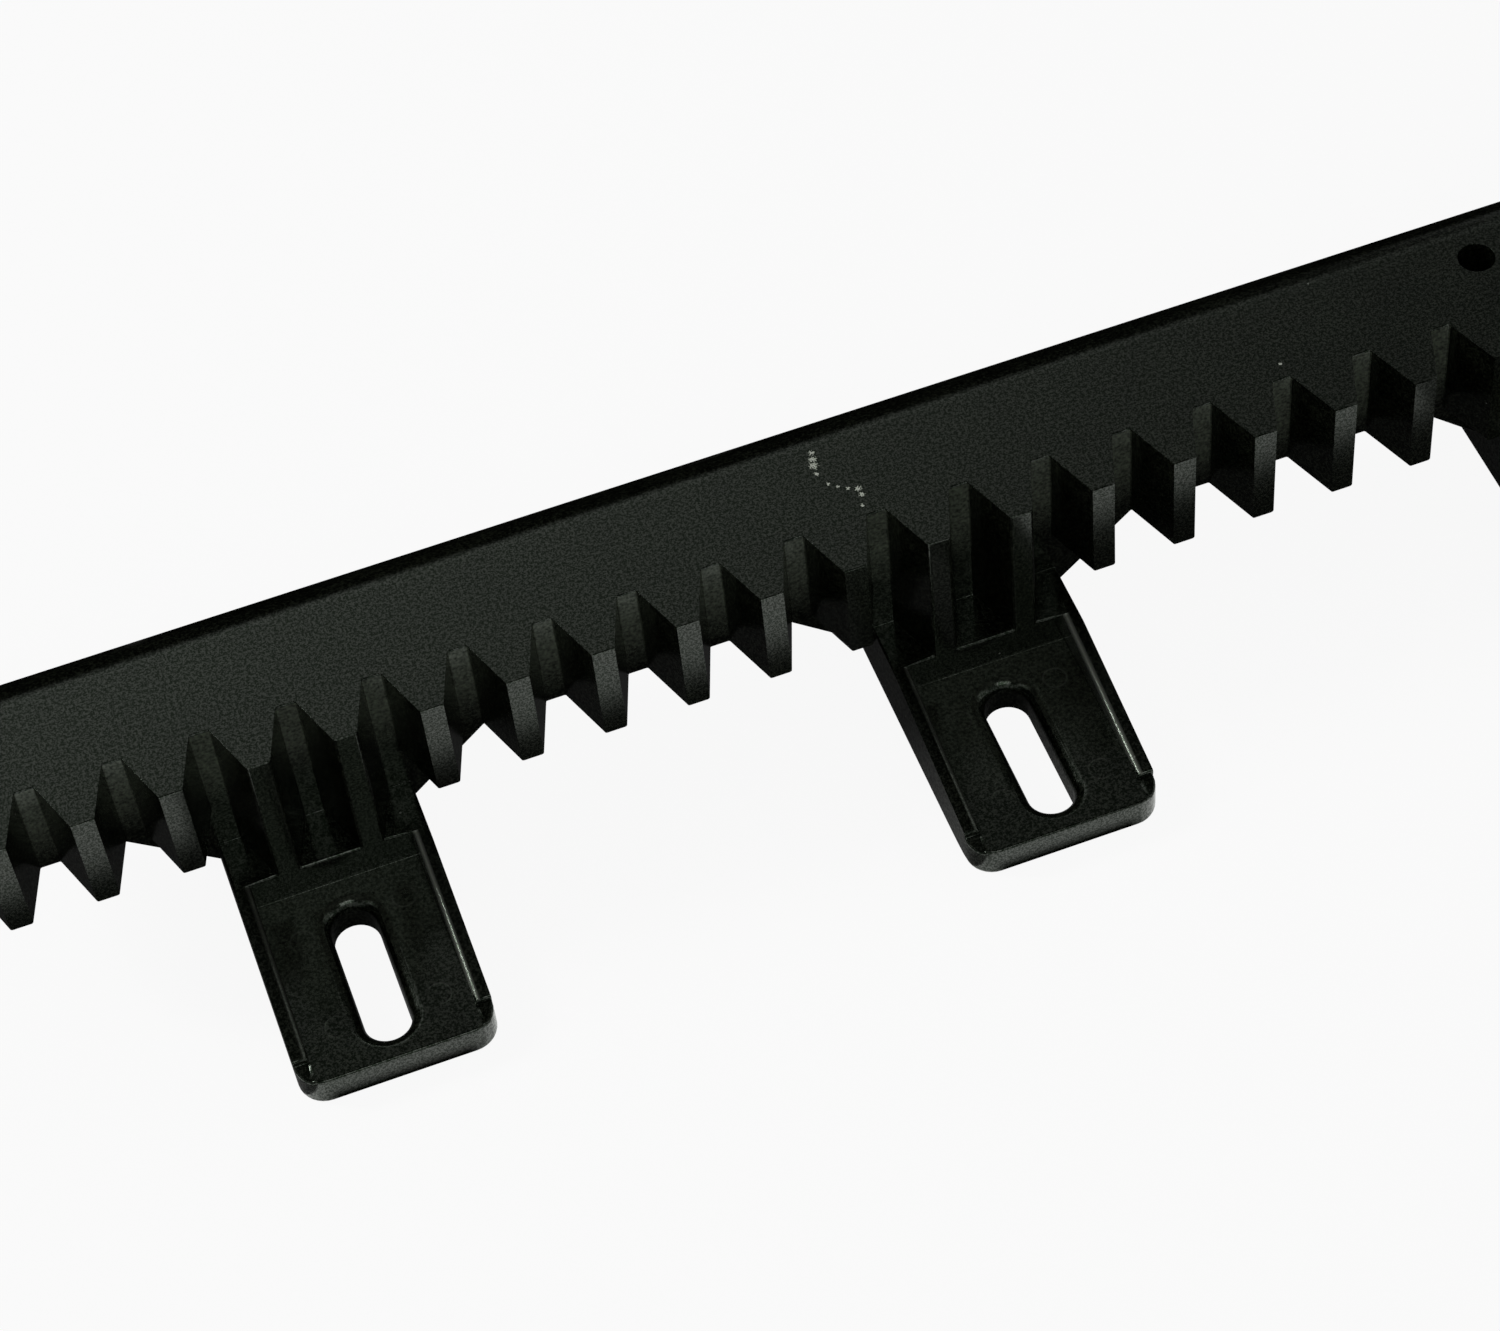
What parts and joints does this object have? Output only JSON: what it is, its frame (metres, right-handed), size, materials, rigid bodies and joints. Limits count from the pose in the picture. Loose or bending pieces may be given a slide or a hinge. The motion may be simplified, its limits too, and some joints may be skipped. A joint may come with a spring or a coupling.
{
  "type": "gear rack",
  "caption": "Toothed plastic rack for a sliding gate, with slotted lugs below the teeth and pads that stand it off the gate.",
  "frame": {"origin": "on the back plane of the lugs, at the middle of the rack's length and on the pitch line of the teeth", "axes": "+X along the rack, the teeth and lugs point towards -Y, +Z out of the front face"},
  "size_m": [0.5026, 0.0647, 0.037],
  "materials": {
    "black_nylon": "moulded black nylon with a satin sheen, scuffed and finely mottled on the front face"
  },
  "bodies": {
    "root": {"gear_rack": "black_nylon"}
  },
  "joints": []
}
